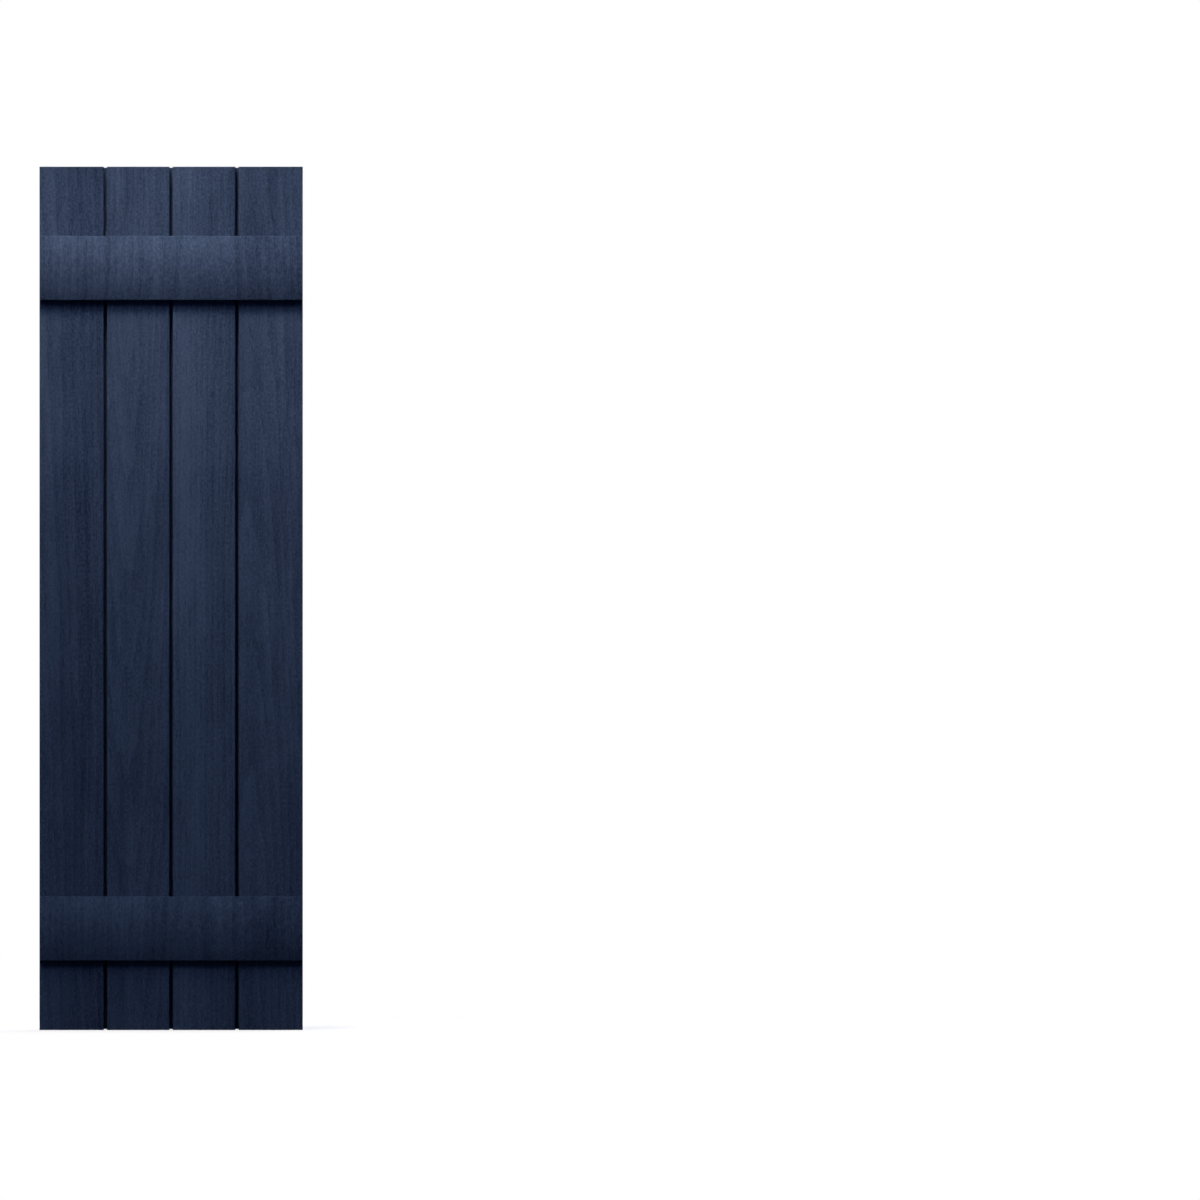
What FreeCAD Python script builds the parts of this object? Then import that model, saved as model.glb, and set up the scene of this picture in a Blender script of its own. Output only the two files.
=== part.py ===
import FreeCAD, Part
import os
from math import sqrt

# Board and batten shutter, moulded in vinyl: upright boards side by side, held together by two
# crowned battens screwed on from behind. All sizes are in millimetres.
# The front faces -Y, the back lies on the wall plane y = 0, +Z is up, and the origin is the
# middle of the back, on the lap between the two middle boards.

# Whole shutter
shutter_height = 1219.0
board_count = 4
board_pitch = 92.9

# Boards, hollow behind
board_depth = 16.0
groove_width = 4.8
face_wall = 2.5
side_wall = 2.5
end_wall = 2.5
edge_radius = 0.8

# Lap joint: a lip on each board's right side runs behind the groove and under its neighbour
lip_thickness = 2.5
lip_lap = 5.0
lap_clearance = 0.2
notch_depth = 1.2

# Stiffening ribs behind the face
rib_bays = 8
rib_thickness = 2.2
rib_clearance = 0.3

# Battens, crowned in front and hollow behind
batten_height = 90.5
batten_from_end = 98.0
batten_edge = 8.5
batten_crown = 14.5
batten_wall = 2.5
batten_rib = 2.2
batten_end_inset = 0.5
batten_edge_radius = 0.6

# Screws from the back of each board into the bosses of the battens
screw_spread = 46.0
screw_hole = 4.5
screw_seat = 10.0
screw_seat_height = 1.5
boss_diameter = 8.0
pilot_hole = 2.8
pilot_end_wall = 2.0

# Worked out from the sizes above
shutter_width = board_count * board_pitch
half_width = shutter_width / 2
half_height = shutter_height / 2
face_y = -board_depth
pocket_floor_y = face_y + face_wall
lap_setback = lip_thickness + lap_clearance
rib_back_y = -(lap_setback + rib_clearance)
batten_centre_z = half_height - batten_from_end - batten_height / 2
batten_centres = {"upper_batten": batten_centre_z, "lower_batten": -batten_centre_z}
crown_rise = batten_crown - batten_edge
crown_radius = ((batten_height / 2) ** 2 + crown_rise ** 2) / (2 * crown_rise)
crown_axis_y = face_y - batten_crown + crown_radius
through = 2 * board_depth


def vector(x, y, z):
    return FreeCAD.Vector(x, y, z)


def box(x, y, z):
    """A box from the low and high limits of each axis."""
    return Part.makeBox(x[1] - x[0], y[1] - y[0], z[1] - z[0], vector(x[0], y[0], z[0]))


def rod(diameter, y, x, z):
    """A cylinder along Y between two depths."""
    return Part.makeCylinder(diameter / 2, y[1] - y[0], vector(x, y[0], z), vector(0, 1, 0))


def module_left(index):
    """The left end of a board's share of the width, which is a groove's centre inside."""
    return -half_width + index * board_pitch


def board_sides(index):
    """The outer faces of a board's two side walls. Half a groove is left beside a neighbour."""
    left = module_left(index)
    right = module_left(index + 1)
    if index > 0:
        left += groove_width / 2
    if index < board_count - 1:
        right -= groove_width / 2
    return left, right


def screw_columns(index):
    """The two screw lines of a board, either side of its middle."""
    middle = module_left(index) + board_pitch / 2
    return [middle - screw_spread / 2, middle + screw_spread / 2]


def rounded_block(left, right):
    """The outside of a board, with its four front edges rounded."""
    block = box((left, right), (face_y, 0), (-half_height, half_height))
    front_edges = [edge for edge in block.Edges if abs(edge.CenterOfMass.y - face_y) < 0.01]
    return block.makeFillet(edge_radius, front_edges)


def board_pockets(left, right):
    """The hollow behind the face: bays between ribs, which stop short of the back."""
    inside_x = (left + side_wall, right - side_wall)
    low_z = -half_height + end_wall
    high_z = half_height - end_wall
    pockets = [box(inside_x, (rib_back_y, through), (low_z, high_z))]
    middle = (inside_x[0] + inside_x[1]) / 2
    columns = [(inside_x[0], middle - rib_thickness / 2), (middle + rib_thickness / 2, inside_x[1])]
    bay_pitch = (high_z - low_z + rib_thickness) / rib_bays
    for bay in range(rib_bays):
        bay_low = low_z + bay * bay_pitch
        bay_high = bay_low + bay_pitch - rib_thickness
        for column in columns:
            pockets.append(box(column, (pocket_floor_y, through), (bay_low, bay_high)))
    return pockets


def make_board(index):
    left, right = board_sides(index)
    board = rounded_block(left, right).cut(board_pockets(left, right))
    inner_end = half_height - end_wall
    if index > 0:
        # Room behind the left wall for the neighbour's lip
        lap_room = box((left - groove_width, left + side_wall), (-lap_setback, through),
                       (-inner_end, inner_end))
        board = board.cut(lap_room)
    if index < board_count - 1:
        # The lip closes the groove from behind, all but a notch at both ends, and what laps under
        # the neighbour ends inside its end walls
        lip_start = right - side_wall
        groove_end = half_height - notch_depth
        groove_floor = box((lip_start, right + groove_width - lap_clearance), (-lip_thickness, 0),
                           (-groove_end, groove_end))
        lap_end = inner_end - lap_clearance
        lip = box((lip_start, right + groove_width + lip_lap), (-lip_thickness, 0), (-lap_end, lap_end))
        board = board.fuse([groove_floor, lip])
    seats = []
    holes = []
    for centre_z in batten_centres.values():
        for x in screw_columns(index):
            seat_y = (pocket_floor_y - face_wall / 2, pocket_floor_y + screw_seat_height)
            seats.append(rod(screw_seat, seat_y, x, centre_z))
            holes.append(rod(screw_hole, (-through, seat_y[1]), x, centre_z))
    return board.fuse(seats).cut(holes).removeSplitter()


def crowned_prism(x, radius, half_side, back_y):
    """A bar along X with a flat back, flat edges and a round front about the crown's axis."""
    side_y = crown_axis_y - sqrt(radius ** 2 - half_side ** 2)
    crown_y = crown_axis_y - radius
    low_back = vector(x[0], back_y, -half_side)
    high_back = vector(x[0], back_y, half_side)
    high_front = vector(x[0], side_y, half_side)
    low_front = vector(x[0], side_y, -half_side)
    crown = Part.Arc(high_front, vector(x[0], crown_y, 0), low_front)
    outline = Part.Wire([
        Part.makeLine(low_back, high_back),
        Part.makeLine(high_back, high_front),
        crown.toShape(),
        Part.makeLine(low_front, low_back),
    ])
    return Part.Face(outline).extrude(vector(x[1] - x[0], 0, 0))


def make_batten(centre_z):
    half_length = half_width - batten_end_inset
    half_side = batten_height / 2
    batten = crowned_prism((-half_length, half_length), crown_radius, half_side, face_y)
    front_edges = [edge for edge in batten.Edges if edge.BoundBox.YMax < face_y - batten_edge / 2]
    batten = batten.makeFillet(batten_edge_radius, front_edges)

    # One hollow for each board, with a rib over each groove
    for index in range(board_count):
        low_x = max(module_left(index) + batten_rib / 2, -half_length + batten_wall)
        high_x = min(module_left(index + 1) - batten_rib / 2, half_length - batten_wall)
        hollow = crowned_prism((low_x, high_x), crown_radius - batten_wall,
                               half_side - batten_wall, face_y)
        batten = batten.cut(hollow)

    # Screw bosses reach from the front wall back to the boards
    front_inside_y = face_y - batten_crown + batten_wall
    bosses = []
    pilots = []
    for index in range(board_count):
        for x in screw_columns(index):
            bosses.append(rod(boss_diameter, (front_inside_y - batten_wall / 2, face_y), x, 0))
            pilots.append(rod(pilot_hole, (front_inside_y + pilot_end_wall, through), x, 0))
    batten = batten.fuse(bosses).cut(pilots).removeSplitter()
    batten.translate(vector(0, 0, centre_z))
    return batten


os.makedirs("parts", exist_ok=True)
for index in range(board_count):
    make_board(index).exportStep(f"parts/board_{index + 1}.step")
for name, centre_z in batten_centres.items():
    make_batten(centre_z).exportStep(f"parts/{name}.step")
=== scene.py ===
import bmesh
import bpy
from math import asin, cos, pi, radians
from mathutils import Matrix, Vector


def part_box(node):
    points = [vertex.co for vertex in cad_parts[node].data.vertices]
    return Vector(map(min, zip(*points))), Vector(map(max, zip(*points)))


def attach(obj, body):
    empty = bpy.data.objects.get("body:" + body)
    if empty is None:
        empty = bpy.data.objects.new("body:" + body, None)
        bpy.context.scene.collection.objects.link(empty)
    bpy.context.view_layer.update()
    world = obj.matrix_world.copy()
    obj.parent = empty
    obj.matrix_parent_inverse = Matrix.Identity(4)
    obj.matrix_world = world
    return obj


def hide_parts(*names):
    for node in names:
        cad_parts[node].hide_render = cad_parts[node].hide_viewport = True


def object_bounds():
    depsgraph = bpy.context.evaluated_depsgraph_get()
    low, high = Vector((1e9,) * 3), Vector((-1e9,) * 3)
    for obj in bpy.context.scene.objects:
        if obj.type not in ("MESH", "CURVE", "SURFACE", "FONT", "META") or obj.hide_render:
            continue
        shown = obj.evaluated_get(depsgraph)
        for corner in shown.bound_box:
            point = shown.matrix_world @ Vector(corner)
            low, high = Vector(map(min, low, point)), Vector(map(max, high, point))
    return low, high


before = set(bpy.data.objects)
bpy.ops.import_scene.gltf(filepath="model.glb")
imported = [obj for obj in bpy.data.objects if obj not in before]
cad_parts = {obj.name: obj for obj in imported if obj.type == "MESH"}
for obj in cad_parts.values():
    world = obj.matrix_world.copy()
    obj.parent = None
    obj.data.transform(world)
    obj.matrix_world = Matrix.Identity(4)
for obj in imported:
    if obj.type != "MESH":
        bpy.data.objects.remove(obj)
cad_low, cad_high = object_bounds()

# Sizes in metres. The frame gives the places, and these give what its boxes don't show.
MM = 0.001
BOARDS = ["board_1", "board_2", "board_3", "board_4"]
BATTENS = ["upper_batten", "lower_batten"]
FACE_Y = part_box("board_1")[0].y
SHUTTER_HEIGHT = cad_high.z - cad_low.z
SHUTTER_WIDTH = cad_high.x - cad_low.x
BOARD_PITCH = SHUTTER_WIDTH / len(BOARDS)
FACE_WALL = 2.5 * MM
SCREW_SEAT = 1.5 * MM
SCREW_HOLE = 4.5 * MM
SCREW_SPREAD = 46.0 * MM
BATTEN_EDGE = 8.5 * MM
BATTEN_EDGE_RADIUS = 0.6 * MM
BATTEN_PLAIN_END = 2.0 * MM
EMBOSS_DEPTH = 0.3 * MM

# Tolerances: vertices welded together, lengths taken as equal, and normals taken as straight on
WELD = 0.004 * MM
NEAR = 0.05 * MM
FLAT = 0.999

# The embossed face is a net of quads, narrow across the grain and long along it. A pair of numbers
# is a division in two steps.
BOARD_NET_ACROSS = (12, 10)
BOARD_NET_ALONG = (20, 20)
BATTEN_NET_ACROSS = (21, 22)
BATTEN_NET_ALONG = 36


def linear(hex_colour):
    """An sRGB hex colour as the linear colour that a shader takes."""
    channels = [int(hex_colour[i:i + 2], 16) / 255 for i in (1, 3, 5)]
    return [c / 12.92 if c <= 0.04045 else ((c + 0.055) / 1.055) ** 2.4 for c in channels] + [1.0]


def add(tree, kind, inputs=None, **settings):
    """Adds one node, with its settings, and fills or links its inputs."""
    node = tree.nodes.new(kind)
    for name, value in settings.items():
        setattr(node, name, value)
    for name, value in (inputs or {}).items():
        if isinstance(value, bpy.types.NodeSocket):
            tree.links.new(value, node.inputs[name])
        else:
            node.inputs[name].default_value = value
    return node


# Wood grain, as it was pressed into the moulds

# Patterns are as wide across the grain and as long along it as the first and second number, in mm,
# and the grain wavers sideways by up to its reach
PORE = (1.5, 12.0)
FLECK = (2.6, 4.0)
FIBRE = (2.4, 55.0)
STREAK = (16.0, 420.0)
CLOUD = (38.0, 120.0)
WAVER = (60.0, 320.0)
WAVER_REACH = 8.0

# What rings and fibres add to the flecks, how far pores sink where their noise is high enough, how
# much a ring's hard side closes them, and the heights that come out as 0 and 1
RING_SHARE = 0.16
FIBRE_SHARE = 0.28
PORE_SINK = 0.15
PORE_OPENS = (0.48, 0.66)
RING_CLOSES_PORES = 0.12
HEIGHT_RANGE = (0.37, 1.01)

# The scale at which a wave texture has rings 1 apart
RING_WAVE = 2 * pi / 20

# How a piece was sawn: where the pith of the tree lies behind it (its place across the piece, its
# depth at mid height and how that changes over the length) and the ring spacing, all in mm.
# Left and right are its shades against the plain colour at its two sides, partly its own tone and
# partly painted light and shade across the piece, and turn is where, as shares of its width, the one
# goes over into the other. Both battens come out of one mould.
BATTEN_CUT = {"pith": 40.0, "depth": 70.0, "taper": 40.0, "rings": 9.0,
              "left": 1.10, "right": 0.92, "turn": (0.66, 0.80)}
CUTS = {
    "board_1": {"pith": -60.0, "depth": 60.0, "taper": 25.0, "rings": 9.0,
                "left": 1.13, "right": 0.88, "turn": (0.10, 0.60)},
    "board_2": {"pith": -16.0, "depth": 34.0, "taper": -70.0, "rings": 8.0,
                "left": 1.05, "right": 1.03, "turn": (0.0, 1.0)},
    "board_3": {"pith": 120.0, "depth": 70.0, "taper": 10.0, "rings": 7.0,
                "left": 1.22, "right": 0.92, "turn": (0.10, 1.0)},
    "board_4": {"pith": -30.0, "depth": 48.0, "taper": 60.0, "rings": 9.0,
                "left": 1.03, "right": 1.0, "turn": (0.0, 1.0)},
    "upper_batten": BATTEN_CUT,
    "lower_batten": BATTEN_CUT,
}


def noise(tree, place, size, detail):
    """Noise with grains of a given width and length in mm, about 0.5 on average."""
    width, length = size
    squeezed = add(tree, "ShaderNodeVectorMath", {0: place, 1: (1 / width, 1 / width, 1 / length)},
                   operation="MULTIPLY")
    grains = add(tree, "ShaderNodeTexNoise",
                 {"Vector": squeezed.outputs[0], "Scale": 1.0, "Detail": detail})
    return grains.outputs[0]


def grain_place(tree, place):
    """The place on the piece in mm, shifted sideways so that the grain wavers as it runs up."""
    mm = add(tree, "ShaderNodeVectorMath", {0: place, "Scale": 1 / MM}, operation="SCALE")
    waver = noise(tree, mm.outputs[0], WAVER, 2.0)
    shift = add(tree, "ShaderNodeMath", {0: waver, 1: 2 * WAVER_REACH, 2: -WAVER_REACH},
                operation="MULTIPLY_ADD")
    sideways = add(tree, "ShaderNodeCombineXYZ", {0: shift.outputs[0]})
    moved = add(tree, "ShaderNodeVectorMath", {0: mm.outputs[0], 1: sideways.outputs[0]}, operation="ADD")
    return moved.outputs[0]


def grain_height(tree, place, middle_x, cut):
    """The height of the pressed grain: about 0 at the bottom of a pore and 1 on a ridge."""
    apart = add(tree, "ShaderNodeSeparateXYZ", {0: place})
    from_pith = add(tree, "ShaderNodeMath", {0: apart.outputs[0], 1: middle_x / MM + cut["pith"]},
                    operation="SUBTRACT")
    pith_depth = add(tree, "ShaderNodeMath",
                     {0: apart.outputs[2], 1: cut["taper"] * MM / SHUTTER_HEIGHT, 2: cut["depth"]},
                     operation="MULTIPLY_ADD")
    ring_place = add(tree, "ShaderNodeCombineXYZ", {0: from_pith.outputs[0], 1: pith_depth.outputs[0]})
    rings = add(tree, "ShaderNodeTexWave",
                {"Vector": ring_place.outputs[0], "Scale": RING_WAVE / cut["rings"], "Distortion": 2.0,
                 "Detail": 2.0, "Detail Scale": 3.0, "Detail Roughness": 0.6},
                wave_type="RINGS", rings_direction="Z", wave_profile="SAW")
    flecks = noise(tree, place, FLECK, 1.0)
    fibres = noise(tree, place, FIBRE, 2.0)
    pores = noise(tree, place, PORE, 0.0)
    ridges = add(tree, "ShaderNodeMath", {0: rings.outputs["Fac"], 1: RING_SHARE, 2: flecks},
                 operation="MULTIPLY_ADD")
    ridges = add(tree, "ShaderNodeMath", {0: fibres, 1: FIBRE_SHARE, 2: ridges.outputs[0]},
                 operation="MULTIPLY_ADD")
    open_pores = add(tree, "ShaderNodeMath", {0: rings.outputs["Fac"], 1: -RING_CLOSES_PORES, 2: pores},
                     operation="MULTIPLY_ADD")
    sunk = add(tree, "ShaderNodeMapRange",
               {"Value": open_pores.outputs[0], "From Min": PORE_OPENS[0], "From Max": PORE_OPENS[1],
                "To Max": PORE_SINK})
    height = add(tree, "ShaderNodeMath", {0: ridges.outputs[0], 1: sunk.outputs[0]}, operation="SUBTRACT")
    level = add(tree, "ShaderNodeMapRange",
                {"Value": height.outputs[0], "From Min": HEIGHT_RANGE[0], "From Max": HEIGHT_RANGE[1]})
    return level.outputs[0]


def emboss_group(name, middle_x, cut):
    """Geometry nodes that press the grain into the vertices of the group named face."""
    tree = bpy.data.node_groups.new(f"{name} emboss", "GeometryNodeTree")
    tree.interface.new_socket("Geometry", in_out="INPUT", socket_type="NodeSocketGeometry")
    tree.interface.new_socket("Geometry", in_out="OUTPUT", socket_type="NodeSocketGeometry")
    piece_in = add(tree, "NodeGroupInput")
    place = add(tree, "GeometryNodeInputPosition")
    normal = add(tree, "GeometryNodeInputNormal")
    face = add(tree, "GeometryNodeInputNamedAttribute", {"Name": "face"}, data_type="FLOAT")
    height = grain_height(tree, grain_place(tree, place.outputs[0]), middle_x, cut)
    depth = add(tree, "ShaderNodeMath", {0: height, 1: EMBOSS_DEPTH, 2: -EMBOSS_DEPTH},
                operation="MULTIPLY_ADD")
    masked = add(tree, "ShaderNodeMath", {0: depth.outputs[0], 1: face.outputs[0]}, operation="MULTIPLY")
    offset = add(tree, "ShaderNodeVectorMath", {0: normal.outputs[0], "Scale": masked.outputs[0]},
                 operation="SCALE")
    moved = add(tree, "GeometryNodeSetPosition",
                {"Geometry": piece_in.outputs[0], "Offset": offset.outputs[0]})
    add(tree, "NodeGroupOutput", {0: moved.outputs[0]})
    return tree


# Materials

# The grain's part in the shade, which paints shade into the pores and a paler sheen on the ridges, the
# slow drift's part, and the shades that get the two end colours
GRAIN_PAINTED_SHADE = 0.64
DRIFT_CONTRAST = 0.5
SHADE_RANGE = (0.5, 1.5)

# Matte vinyl hardly mirrors anything
MATTE_SPECULAR = 0.01


def new_material(name):
    """A material with an empty node tree, and that tree."""
    material = bpy.data.materials.new(name)
    material.use_nodes = True
    tree = material.node_tree
    tree.nodes.clear()
    return material, tree


def tone_drift(tree, place, middle_x, half_width, cut):
    """The piece's shade as a share of the plain colour: side-to-side shades, partly painted light and
    shade, long streaks, slow clouds.
    """
    apart = add(tree, "ShaderNodeSeparateXYZ", {0: place})
    # Painted light and shade in part: the piece is made lighter on one side and darker on the other
    turn = [(middle_x + (2 * share - 1) * half_width) / MM for share in cut["turn"]]
    shade = add(tree, "ShaderNodeMapRange",
                {"Value": apart.outputs[0], "From Min": turn[0], "From Max": turn[1],
                 "To Min": cut["left"], "To Max": cut["right"]}, interpolation_type="SMOOTHSTEP")
    streaks = noise(tree, place, STREAK, 1.0)
    clouds = noise(tree, place, CLOUD, 2.0)
    drift = add(tree, "ShaderNodeMath", {0: clouds, 1: streaks}, operation="ADD")
    drift = add(tree, "ShaderNodeMath", {0: drift.outputs[0], 1: DRIFT_CONTRAST, 2: -DRIFT_CONTRAST},
                operation="MULTIPLY_ADD")
    tone = add(tree, "ShaderNodeMath", {0: shade.outputs[0], 1: drift.outputs[0]}, operation="ADD")
    return tone.outputs[0]


def embossed_vinyl(name, middle_x, half_width, cut):
    """Vinyl copolymer coloured through, moulded with a pressed wood grain: matte navy with slow changes
    of shade. Its ridges are painted greyer and paler as a painted sheen, and its pores bluer and darker
    as painted shade."""
    material, tree = new_material(f"{name} embossed vinyl")
    place = grain_place(tree, add(tree, "ShaderNodeTexCoord").outputs["Object"])
    height = grain_height(tree, place, middle_x, cut)
    tone = tone_drift(tree, place, middle_x, half_width, cut)
    # Painted shade and sheen: the grain's height darkens its pores and lightens its ridges, standing in
    # for shade in the hollows and sheen on the ridges
    shade = add(tree, "ShaderNodeMath", {0: height, 1: GRAIN_PAINTED_SHADE, 2: -GRAIN_PAINTED_SHADE / 2},
                operation="MULTIPLY_ADD")
    shade = add(tree, "ShaderNodeMath", {0: tone, 1: shade.outputs[0]}, operation="ADD")
    level = add(tree, "ShaderNodeMapRange",
                {"Value": shade.outputs[0], "From Min": SHADE_RANGE[0], "From Max": SHADE_RANGE[1]})
    # The dark, bluer end colour carries the painted shade of the pores and the pale, greyer end the
    # painted sheen of the ridges, besides the vinyl's own slow changes of shade
    colour = add(tree, "ShaderNodeMix",
                 {"Factor": level.outputs[0], "A": linear("#192338"), "B": linear("#394860")},
                 data_type="RGBA")
    rough = add(tree, "ShaderNodeMapRange", {"Value": height, "To Min": 0.8, "To Max": 0.62})
    bump = add(tree, "ShaderNodeBump", {"Height": height, "Strength": 0.6, "Distance": EMBOSS_DEPTH})
    shader = add(tree, "ShaderNodeBsdfPrincipled",
                 {"Base Color": colour.outputs["Result"], "Roughness": rough.outputs[0], "IOR": 1.5,
                  "Specular IOR Level": MATTE_SPECULAR, "Normal": bump.outputs[0]})
    add(tree, "ShaderNodeOutputMaterial", {0: shader.outputs[0]})
    return material


def moulded_vinyl():
    """The same vinyl where the mould was only spark eroded: even navy, fine grit, no grain."""
    material, tree = new_material("moulded vinyl back")
    place = add(tree, "ShaderNodeTexCoord").outputs["Object"]
    grit = add(tree, "ShaderNodeTexNoise", {"Vector": place, "Scale": 1 / (1.5 * MM), "Detail": 2.0})
    flow = add(tree, "ShaderNodeTexNoise", {"Vector": place, "Scale": 1 / (90 * MM), "Detail": 3.0})
    cloud = add(tree, "ShaderNodeMath", {0: grit.outputs[0], 1: 0.35, 2: flow.outputs[0]},
                operation="MULTIPLY_ADD")
    level = add(tree, "ShaderNodeMapRange",
                {"Value": cloud.outputs[0], "From Min": 0.45, "From Max": 0.9})
    colour = add(tree, "ShaderNodeMix",
                 {"Factor": level.outputs[0], "A": linear("#28334A"), "B": linear("#323E56")},
                 data_type="RGBA")
    bump = add(tree, "ShaderNodeBump",
               {"Height": grit.outputs[0], "Strength": 0.2, "Distance": 0.15 * MM})
    shader = add(tree, "ShaderNodeBsdfPrincipled",
                 {"Base Color": colour.outputs["Result"], "Roughness": 0.6, "IOR": 1.5,
                  "Specular IOR Level": MATTE_SPECULAR, "Normal": bump.outputs[0]})
    add(tree, "ShaderNodeOutputMaterial", {0: shader.outputs[0]})
    return material


def zinc_plated_steel():
    """Screws: zinc-plated steel, grey with a dull shine and a cloudy plating."""
    material, tree = new_material("zinc plated steel")
    place = add(tree, "ShaderNodeTexCoord").outputs["Object"]
    cloud = add(tree, "ShaderNodeTexNoise", {"Vector": place, "Scale": 1 / (2 * MM), "Detail": 3.0})
    colour = add(tree, "ShaderNodeMix",
                 {"Factor": cloud.outputs[0], "A": linear("#8F9498"), "B": linear("#C3C7CA")},
                 data_type="RGBA")
    rough = add(tree, "ShaderNodeMapRange", {"Value": cloud.outputs[0], "To Min": 0.3, "To Max": 0.5})
    shader = add(tree, "ShaderNodeBsdfPrincipled",
                 {"Base Color": colour.outputs["Result"], "Metallic": 1.0, "Roughness": rough.outputs[0]})
    add(tree, "ShaderNodeOutputMaterial", {0: shader.outputs[0]})
    return material


# Modelling by hand

# Faces that meet at less than the first angle are shaded as one, and edges past the second are sharp
SMOOTH_ANGLE = radians(35)
SHARP_ANGLE = radians(50)


def start_on(piece):
    """Makes a piece the only one selected and opens it in edit mode."""
    bpy.ops.object.select_all(action="DESELECT")
    piece.select_set(True)
    bpy.context.view_layer.objects.active = piece
    bpy.ops.object.mode_set(mode="EDIT")


def choose(kind, test):
    """In edit mode, selects only the vertices, edges or faces that pass a test."""
    bpy.ops.mesh.select_mode(type=kind)
    bpy.ops.mesh.select_all(action="DESELECT")
    mesh = bpy.context.edit_object.data
    shape = bmesh.from_edit_mesh(mesh)
    for item in {"VERT": shape.verts, "EDGE": shape.edges, "FACE": shape.faces}[kind]:
        if test(item):
            item.select_set(True)
    bmesh.update_edit_mesh(mesh)


def divide(test, steps):
    """Divides the edges that pass a test into as many parts as the steps multiply to."""
    for parts in steps:
        choose("EDGE", test)
        bpy.ops.mesh.subdivide(number_cuts=parts - 1)


def name_face_group(piece, test):
    """Keeps the vertices that pass a test as the group that takes the grain."""
    choose("VERT", test)
    piece.vertex_groups.new(name="face")
    bpy.ops.object.vertex_group_assign()


def press_grain(piece, name, middle_x):
    """Applies the emboss to the face and smooths the round edges."""
    bpy.ops.object.mode_set(mode="OBJECT")
    emboss = piece.modifiers.new("Grain", "NODES")
    emboss.node_group = emboss_group(name, middle_x, CUTS[name])
    bpy.ops.object.modifier_apply(modifier=emboss.name)
    piece.vertex_groups.clear()
    bpy.ops.object.shade_smooth_by_angle(angle=SMOOTH_ANGLE)


def screw_places(index):
    """The screws of one board: two abreast at the middle of each batten."""
    middle = cad_low.x + (index + 0.5) * BOARD_PITCH
    places = []
    for name in BATTENS:
        low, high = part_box(name)
        for side in (-0.5, 0.5):
            places.append((middle + side * SCREW_SPREAD, (low.z + high.z) / 2))
    return places


def in_screw_hole(face, places):
    """Whether a face belongs to the wall of one of the screw holes."""
    centre = face.calc_center_median()
    reach = SCREW_HOLE / 2 + NEAR
    return abs(face.normal.y) < 0.5 and any(
        (centre.x - x) ** 2 + (centre.z - z) ** 2 < reach ** 2 for x, z in places)


def make_board(index, name, back_material):
    """A board: the hollow moulding of the frame, with its flat face drawn again as a fine net."""
    places = screw_places(index)
    middle_x = cad_low.x + (index + 0.5) * BOARD_PITCH
    piece = bpy.data.objects.new(f"{name}_moulding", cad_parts[name].data.copy())
    bpy.context.scene.collection.objects.link(piece)
    piece.data.materials.clear()
    piece.data.materials.append(back_material)
    piece.data.materials.append(embossed_vinyl(name, middle_x, BOARD_PITCH / 2, CUTS[name]))
    start_on(piece)
    bpy.ops.mesh.customdata_custom_splitnormals_clear()
    bpy.ops.mesh.select_all(action="SELECT")
    bpy.ops.mesh.remove_doubles(threshold=WELD)

    # The flat face comes off, and the screw holes are closed where the screws fill them
    choose("FACE", lambda face: in_screw_hole(face, places) or (
        face.normal.y < -FLAT and abs(face.calc_center_median().y - FACE_Y) < NEAR))
    bpy.ops.mesh.delete(type="FACE")
    choose("EDGE", lambda edge: edge.is_boundary and edge.verts[0].co.y > FACE_Y + FACE_WALL)
    bpy.ops.mesh.fill_holes(sides=0)

    # The opening's four edges are divided to match the net that closes it
    choose("EDGE", lambda edge: edge.is_boundary)
    rim = [v.co.copy() for v in bmesh.from_edit_mesh(piece.data).verts if v.select]
    low_x, high_x = min(p.x for p in rim), max(p.x for p in rim)
    low_z, high_z = min(p.z for p in rim), max(p.z for p in rim)
    divide(lambda edge: edge.is_boundary and abs(edge.verts[0].co.x - edge.verts[1].co.x) > NEAR,
           BOARD_NET_ACROSS)
    divide(lambda edge: edge.is_boundary and abs(edge.verts[0].co.z - edge.verts[1].co.z) > NEAR,
           BOARD_NET_ALONG)
    bpy.ops.mesh.select_all(action="DESELECT")
    centre = ((low_x + high_x) / 2, FACE_Y, (low_z + high_z) / 2)
    bpy.ops.mesh.primitive_grid_add(
        x_subdivisions=BOARD_NET_ACROSS[0] * BOARD_NET_ACROSS[1],
        y_subdivisions=BOARD_NET_ALONG[0] * BOARD_NET_ALONG[1],
        size=1, location=centre, rotation=(pi / 2, 0, 0))
    bpy.ops.transform.resize(value=(high_x - low_x, 1, high_z - low_z), center_override=centre)
    bpy.ops.mesh.select_all(action="SELECT")
    bpy.ops.mesh.remove_doubles(threshold=WELD)
    name_face_group(piece, lambda vertex: abs(vertex.co.y - FACE_Y) < NEAR
                    and low_x + NEAR < vertex.co.x < high_x - NEAR
                    and low_z + NEAR < vertex.co.z < high_z - NEAR)

    # The grain's material covers the face and its round edges
    choose("FACE", lambda face: face.normal.y < -0.1
           and face.calc_center_median().y < FACE_Y + FACE_WALL / 2)
    piece.active_material_index = 1
    bpy.ops.object.material_slot_assign()
    press_grain(piece, name, middle_x)
    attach(piece, "root")
    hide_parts(name)


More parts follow.
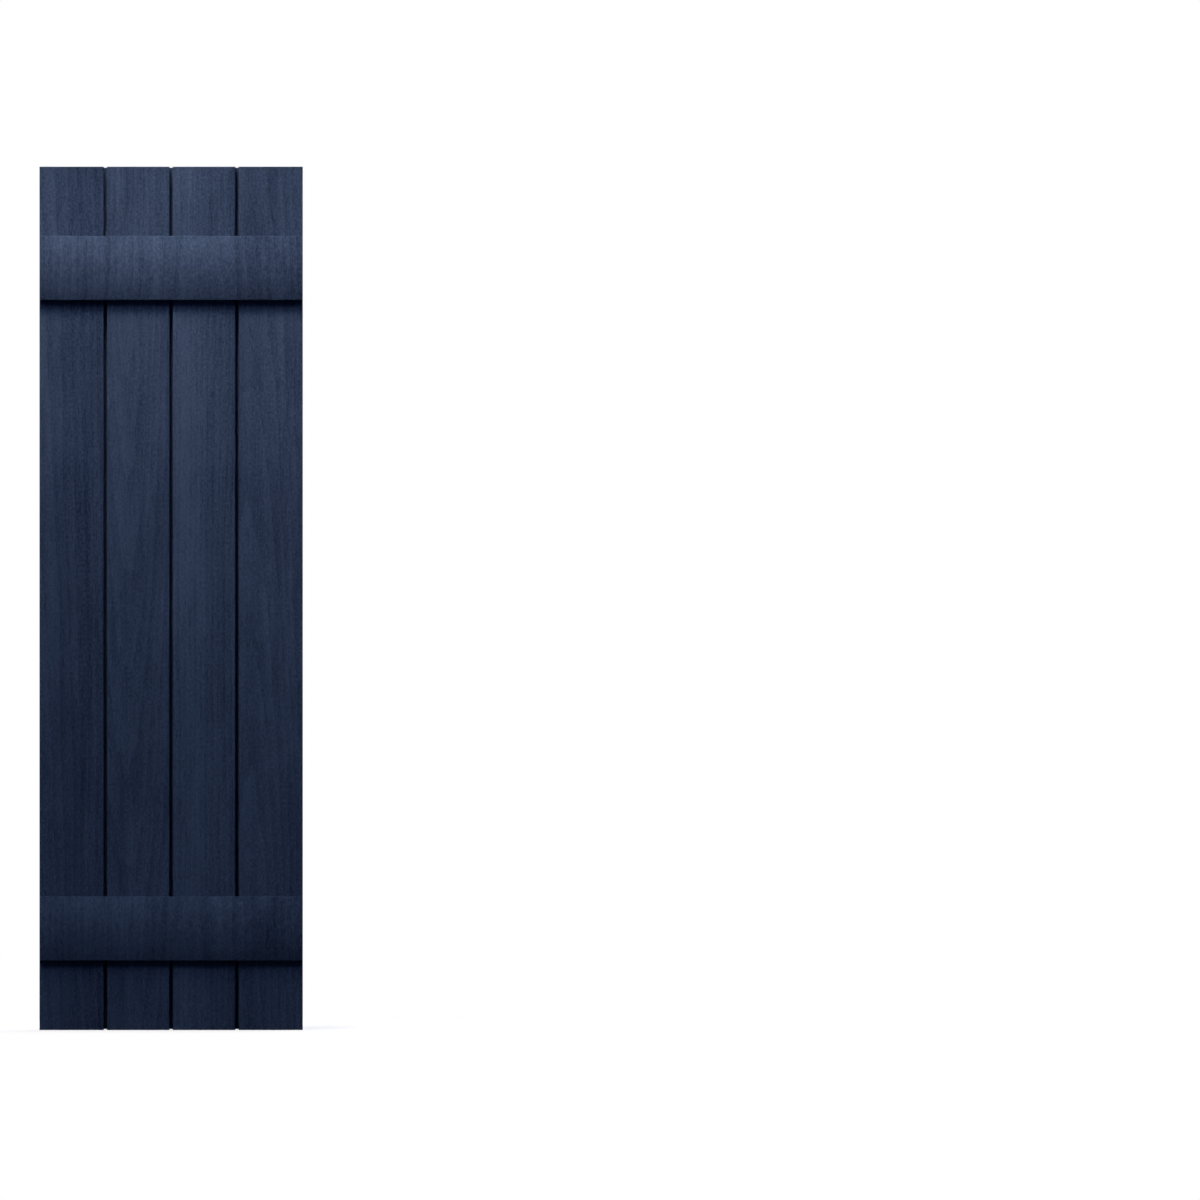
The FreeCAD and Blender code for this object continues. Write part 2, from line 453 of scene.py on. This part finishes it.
def make_batten(name):
    """A batten: one line of the grain swung round the crown's axis, with its sides drawn back to
    the boards and its front edges rounded."""
    low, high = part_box(name)
    middle_z = (low.z + high.z) / 2
    half_side = (high.z - low.z) / 2
    length = high.x - low.x
    rise = high.y - low.y - BATTEN_EDGE
    radius = (half_side ** 2 + rise ** 2) / (2 * rise)
    half_angle = asin(half_side / radius)
    axis_y = low.y + radius
    edge_y = axis_y - radius * cos(half_angle)

    # A line along the lower front edge, with a plain stretch at both ends
    bpy.ops.object.select_all(action="DESELECT")
    bpy.ops.mesh.primitive_grid_add(x_subdivisions=3, y_subdivisions=1, size=length,
                                    location=(0, edge_y + length / 2, low.z))
    piece = bpy.context.object
    piece.name = f"{name}_moulding"
    bpy.ops.object.transform_apply(location=True, rotation=True, scale=True)
    bpy.ops.object.mode_set(mode="EDIT")
    choose("VERT", lambda vertex: vertex.co.y > edge_y + length / 2)
    bpy.ops.mesh.delete(type="VERT")
    choose("VERT", lambda vertex: abs(vertex.co.x) < length / 3)
    bpy.ops.transform.resize(value=((length / 2 - BATTEN_PLAIN_END) / (length / 6), 1, 1),
                             center_override=(0, edge_y, low.z))
    divide(lambda edge: all(abs(v.co.x) < length / 2 - NEAR for v in edge.verts), BATTEN_NET_ACROSS)

    # The crowned front, swung from the line
    bpy.ops.mesh.select_all(action="SELECT")
    bpy.ops.mesh.spin(steps=BATTEN_NET_ALONG, angle=2 * half_angle,
                      center=(0, axis_y, middle_z), axis=(1, 0, 0))
    bpy.ops.mesh.select_all(action="SELECT")
    bpy.ops.mesh.remove_doubles(threshold=WELD)
    name_face_group(piece, lambda vertex: not vertex.is_boundary)

    # The four sides, drawn back flat on to the boards, and the back
    choose("EDGE", lambda edge: edge.is_boundary)
    bpy.ops.mesh.extrude_edges_move()
    bpy.ops.transform.resize(value=(1, 0, 1), center_override=(0, FACE_Y, middle_z))
    bpy.ops.mesh.edge_face_add()
    bpy.ops.mesh.select_all(action="SELECT")
    bpy.ops.mesh.normals_make_consistent(inside=False)

    # The sharp edges round the front
    choose("EDGE", lambda edge: edge.is_manifold and edge.calc_face_angle() > SHARP_ANGLE
           and all(v.co.y < FACE_Y - BATTEN_EDGE / 2 for v in edge.verts)
           and abs(edge.link_faces[0].normal.y) + abs(edge.link_faces[1].normal.y) > 0.5)
    bpy.ops.mesh.bevel(offset=BATTEN_EDGE_RADIUS, segments=4, affect="EDGES")
    piece.data.materials.append(embossed_vinyl(name, 0, SHUTTER_WIDTH / 2, CUTS[name]))
    press_grain(piece, name, 0)
    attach(piece, "root")
    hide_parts(name)


def make_screws():
    """The pan heads of the batten screws, each with a cross recess, on their seats in the boards."""
    head_radius = 4.0 * MM
    head_height = 2.6 * MM
    recess_length = 4.4 * MM
    recess_width = 1.0 * MM
    seat_y = FACE_Y + FACE_WALL + SCREW_SEAT
    bpy.ops.object.select_all(action="DESELECT")
    bpy.ops.mesh.primitive_cylinder_add(vertices=32, radius=head_radius, depth=head_height,
                                        location=(0, head_height / 2, 0), rotation=(-pi / 2, 0, 0))
    head = bpy.context.object
    bpy.ops.object.transform_apply(location=True, rotation=True, scale=True)
    bpy.ops.object.mode_set(mode="EDIT")
    choose("EDGE", lambda edge: all(v.co.y > head_height - NEAR for v in edge.verts))
    bpy.ops.mesh.bevel(offset=head_height / 2, segments=5, affect="EDGES")
    bpy.ops.object.mode_set(mode="OBJECT")

    # The recess: two bars cut half the head's height deep
    arms = []
    for size_x, size_z in ((recess_length, recess_width), (recess_width, recess_length)):
        bpy.ops.mesh.primitive_cube_add(size=1, location=(0, head_height, 0),
                                        scale=(size_x, head_height, size_z))
        arms.append(bpy.context.object)
    for arm in arms:
        cut = head.modifiers.new("Recess", "BOOLEAN")
        cut.operation = "DIFFERENCE"
        cut.object = arm
        bpy.ops.object.select_all(action="DESELECT")
        bpy.context.view_layer.objects.active = head
        bpy.ops.object.modifier_apply(modifier=cut.name)
    for arm in arms:
        bpy.data.objects.remove(arm)

    # One copy on each seat, joined as one piece
    copies = []
    for index in range(len(BOARDS)):
        for x, z in screw_places(index):
            copy = bpy.data.objects.new("screw", head.data.copy())
            copy.location = (x, seat_y, z)
            bpy.context.scene.collection.objects.link(copy)
            copies.append(copy)
    bpy.data.objects.remove(head)
    bpy.ops.object.select_all(action="DESELECT")
    for copy in copies:
        copy.select_set(True)
    bpy.context.view_layer.objects.active = copies[0]
    bpy.ops.object.transform_apply(location=True, rotation=True, scale=True)
    bpy.ops.object.join()
    screws = bpy.context.object
    screws.name = "batten_screws"
    screws.data.materials.append(zinc_plated_steel())
    bpy.ops.object.shade_smooth_by_angle(angle=SMOOTH_ANGLE)
    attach(screws, "root")


back_vinyl = moulded_vinyl()
for index, name in enumerate(BOARDS):
    make_board(index, name, back_vinyl)
for name in BATTENS:
    make_batten(name)
make_screws()


# Stage: a pale floor under the shutter and a white surround

# The floor's side. It takes shade about a point behind the shutter, out to the first distance, and
# is plain white from the second.
FLOOR_SIDE = 14.0
SHADE_CENTRE = (0, 0.4, 0)
SHADE_REACH = (0.3, 0.8)


def seen_directly(tree):
    """1 for what the camera sees, straight, mirrored or through something, and 0 for stray light."""
    path = add(tree, "ShaderNodeLightPath")
    seen = add(tree, "ShaderNodeMath",
               {0: path.outputs["Is Camera Ray"], 1: path.outputs["Is Glossy Ray"]}, operation="MAXIMUM")
    seen = add(tree, "ShaderNodeMath",
               {0: seen.outputs[0], 1: path.outputs["Is Transmission Ray"]}, operation="MAXIMUM")
    return seen.outputs[0]


def make_floor():
    """A matte floor that shows the shutter's shadow and goes over into white around it."""
    bpy.ops.object.select_all(action="DESELECT")
    bpy.ops.mesh.primitive_plane_add(size=FLOOR_SIDE, location=(0, 0, cad_low.z))
    floor = bpy.context.object
    floor.name = "studio_floor"
    material, tree = new_material("matte white floor")
    place = add(tree, "ShaderNodeTexCoord").outputs["Object"]
    away = add(tree, "ShaderNodeVectorMath", {0: place, 1: SHADE_CENTRE}, operation="DISTANCE")
    far = add(tree, "ShaderNodeMapRange",
              {"Value": away.outputs["Value"], "From Min": SHADE_REACH[0], "From Max": SHADE_REACH[1]},
              interpolation_type="SMOOTHSTEP")
    near_shade = add(tree, "ShaderNodeBsdfDiffuse", {"Color": linear("#B2B2B2")})
    near_glow = add(tree, "ShaderNodeEmission", {"Color": linear("#FFFFFF"), "Strength": 0.4})
    near = add(tree, "ShaderNodeAddShader", {0: near_shade.outputs[0], 1: near_glow.outputs[0]})
    white = add(tree, "ShaderNodeEmission", {"Color": linear("#FFFFFF"), "Strength": 1.0})
    seen = add(tree, "ShaderNodeMixShader", {0: far.outputs[0], 1: near.outputs[0], 2: white.outputs[0]})
    unseen = add(tree, "ShaderNodeBsdfDiffuse", {"Color": linear("#303030")})
    both = add(tree, "ShaderNodeMixShader",
               {0: seen_directly(tree), 1: unseen.outputs[0], 2: seen.outputs[0]})
    add(tree, "ShaderNodeOutputMaterial", {0: both.outputs[0]})
    floor.data.materials.append(material)


def make_surround():
    """A white surround, of which only a soft bluish light falls on the shutter."""
    world = bpy.data.worlds.new("white surround")
    world.use_nodes = True
    tree = world.node_tree
    tree.nodes.clear()
    soft = add(tree, "ShaderNodeBackground", {"Color": linear("#6795FF"), "Strength": 0.153})
    white = add(tree, "ShaderNodeBackground", {"Color": linear("#FFFFFF"), "Strength": 1.0})
    both = add(tree, "ShaderNodeMixShader",
               {0: seen_directly(tree), 1: soft.outputs[0], 2: white.outputs[0]})
    add(tree, "ShaderNodeOutputWorld", {0: both.outputs[0]})
    bpy.context.scene.world = world


def make_lamp(name, place, aim, width, height, power, colour="#FFFFFF", spread=180):
    """A softbox, in metres and watts. A spread under 180 degrees is a grid that narrows its beam."""
    lamp = bpy.data.lights.new(name, "AREA")
    lamp.shape = "RECTANGLE"
    lamp.size = width
    lamp.size_y = height
    lamp.energy = power
    lamp.color = linear(colour)[:3]
    lamp.spread = radians(spread)
    holder = bpy.data.objects.new(name, lamp)
    holder.location = place
    holder.rotation_euler = (Vector(aim) - Vector(place)).to_track_quat("-Z", "Y").to_euler()
    bpy.context.scene.collection.objects.link(holder)


make_floor()
make_surround()

# Two lamps above wash the upper half, a tall pair in front gives the battens their shadows, and
# the rest light the sides and the back
make_lamp("top_softbox", (-0.24, -0.61, 1.97), (0, 0, 0.78), 0.54, 0.56, 4.5, "#FFF2DF", 48)
make_lamp("high_softbox", (-0.19, -0.83, 2.46), (0, 0, 0.38), 0.83, 0.21, 0.46, "#FFD8CA", 8)
make_lamp("left_key_softbox", (-1.47, -2.92, 4.29), (0, 0, 0.89), 0.78, 3.19, 5.6, "#F2F5FF", 37)
make_lamp("right_key_softbox", (1.47, -2.92, 4.29), (0, 0, 0.89), 0.78, 3.19, 5.6, "#F2F5FF", 37)
make_lamp("left_softbox", (-2.4, 0.5, 0.9), (0, 0, 0), 1.0, 1.4, 40)
make_lamp("right_softbox", (2.4, 0.5, 0.9), (0, 0, 0), 1.0, 1.4, 40)
make_lamp("back_softbox", (0.6, 2.2, 1.4), (0, 0, 0), 1.4, 1.4, 60)

# Camera: straight on from far away, with the shutter on the same place in the frame as in the photo
PHOTO_SIDE = 1200
PHOTO_LEFT, PHOTO_TOP, PHOTO_BOTTOM = 39.7, 166.85, 1029.85
CAMERA_AWAY = 40.0
pixel = SHUTTER_HEIGHT / (PHOTO_BOTTOM - PHOTO_TOP)
camera = bpy.data.cameras.new("photo_camera")
camera.sensor_width = 36.0
camera.lens = camera.sensor_width * CAMERA_AWAY / (PHOTO_SIDE * pixel)
camera.clip_end = 2 * CAMERA_AWAY
view = bpy.data.objects.new("photo_camera", camera)
view.location = (cad_low.x + (PHOTO_SIDE / 2 - PHOTO_LEFT) * pixel, -CAMERA_AWAY,
                 cad_high.z - (PHOTO_SIDE / 2 - PHOTO_TOP) * pixel)
view.rotation_euler = (pi / 2, 0, 0)
bpy.context.scene.collection.objects.link(view)
bpy.context.scene.camera = view
bpy.context.scene.view_settings.view_transform = "Standard"
